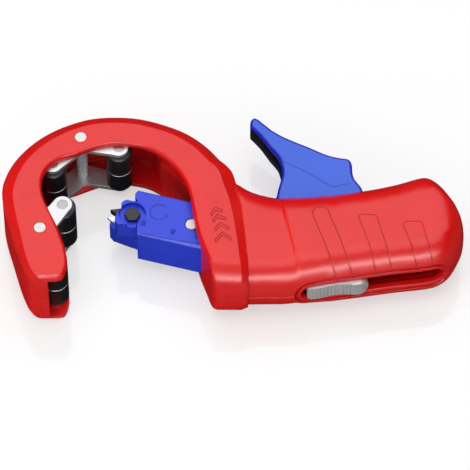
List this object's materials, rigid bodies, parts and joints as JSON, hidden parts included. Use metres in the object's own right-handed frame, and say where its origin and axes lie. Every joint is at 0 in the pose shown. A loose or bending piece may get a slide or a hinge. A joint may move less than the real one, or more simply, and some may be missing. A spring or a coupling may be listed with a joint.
{
  "type": "pipe cutter",
  "caption": "Hand cutter for plastic waste pipe: C-shaped ring with four rollers on two rockers, a sliding blade carriage, a feed trigger and a size slider.",
  "frame": {"origin": "on the axis of a 50 mm pipe seated on the four rollers, at mid-thickness", "axes": "+X along the tool towards the end of the grip, +Y towards the trigger side, +Z along the pipe, through the thickness"},
  "size_m": [0.2024, 0.0925, 0.036],
  "materials": {
    "red_shell": "moulded nylon with a fine satin grain",
    "screw_steel": "zinc-plated steel",
    "pin_nylon": "natural white nylon",
    "plate_steel": "bright plated sheet steel",
    "axle_steel": "turned steel",
    "roller_black": "black turned plastic with a ground line round the middle",
    "slide_black": "glass-filled black nylon",
    "carriage_blue": "blue moulded plastic",
    "screw_black": "black oxide steel",
    "blade_steel": "ground blade steel",
    "spring_steel": "spring wire",
    "slider_steel": "silver ridged shoe",
    "trigger_blue": "blue moulded plastic"
  },
  "bodies": {
    "housing": {"housing_upper": "red_shell", "housing_lower": "red_shell", "housing_screws": "screw_steel", "rear_rocker_pin": "pin_nylon", "tip_rocker_pin": "pin_nylon", "trigger_pin": "screw_steel", "trigger_spring": "spring_steel"},
    "rear_rocker": {"rear_rocker_plate_upper": "plate_steel", "rear_rocker_plate_lower": "plate_steel", "rear_roller_axles": "axle_steel"},
    "tip_rocker": {"tip_rocker_plate_upper": "plate_steel", "tip_rocker_plate_lower": "plate_steel", "tip_roller_axles": "axle_steel"},
    "rear_outer_roller": {"roller_rear_outer": "roller_black"},
    "rear_inner_roller": {"roller_rear_inner": "roller_black"},
    "tip_inner_roller": {"roller_tip_inner": "roller_black"},
    "tip_outer_roller": {"roller_tip_outer": "roller_black"},
    "slide": {"base_slide": "slide_black", "guide_pin": "pin_nylon", "slide_peg": "axle_steel", "carriage_spring": "spring_steel"},
    "blade_carriage": {"carriage": "carriage_blue", "blade_clamp": "carriage_blue", "clamp_screw": "screw_black", "cutting_blade": "blade_steel", "chamfer_blade": "screw_black"},
    "size_shoe": {"size_slider": "slider_steel"},
    "trigger": {"trigger": "trigger_blue", "trigger_link_pin": "axle_steel"},
    "pawl": {"feed_pawl": "axle_steel"}
  },
  "joints": [
    {"name": "size_travel", "type": "slide", "parent": "housing", "child": "size_shoe", "axis": [0.9863, 0.165, 0], "range_m": [0, 0.03297]},
    {"name": "slide_travel", "type": "slide", "parent": "housing", "child": "slide", "axis": [0.9659, -0.2588, 0], "range_m": [0, 0.03]},
    {"name": "carriage_feed", "type": "slide", "parent": "slide", "child": "blade_carriage", "axis": [-0.9659, 0.2588, 0], "range_m": [0, 0.0048], "deforming": ["carriage_spring"]},
    {"name": "trigger_squeeze", "type": "hinge", "parent": "housing", "child": "trigger", "pos_m": [0.1031, -0.002, 0], "axis": [0, 0, 1], "range_deg": [0, 20]},
    {"name": "pawl_feed", "type": "slide", "parent": "housing", "child": "pawl", "axis": [-0.9659, 0.2588, 0], "range_m": [0, 0.0048]},
    {"name": "rear_rocker_swing", "type": "hinge", "parent": "housing", "child": "rear_rocker", "pos_m": [-0.01435, 0.03179, 0], "axis": [0, 0, 1], "range_deg": [-4, 20]},
    {"name": "tip_rocker_swing", "type": "hinge", "parent": "housing", "child": "tip_rocker", "pos_m": [-0.03129, -0.0154, 0], "axis": [0, 0, 1], "range_deg": [-3, 50]},
    {"name": "rear_outer_roll", "type": "hinge", "parent": "rear_rocker", "child": "rear_outer_roller", "pos_m": [-0.02648, 0.01987, 0], "axis": [0, 0, 1], "continuous": true},
    {"name": "rear_inner_roll", "type": "hinge", "parent": "rear_rocker", "child": "rear_inner_roller", "pos_m": [0.00231, 0.0284, 0], "axis": [0, 0, 1], "continuous": true},
    {"name": "tip_inner_roll", "type": "hinge", "parent": "tip_rocker", "child": "tip_inner_roller", "pos_m": [-0.02184, -0.00127, 0], "axis": [0, 0, 1], "continuous": true},
    {"name": "tip_outer_roll", "type": "hinge", "parent": "tip_rocker", "child": "tip_outer_roller", "pos_m": [-0.02487, -0.03114, 0], "axis": [0, 0, 1], "continuous": true}
  ],
  "couplings": [
    {"joint": "slide_travel", "follows": "size_travel", "ratio": 0.90996},
    {"joint": "carriage_feed", "follows": "trigger_squeeze", "m_per_rad": 0.013751},
    {"joint": "pawl_feed", "follows": "trigger_squeeze", "m_per_rad": 0.013751}
  ]
}
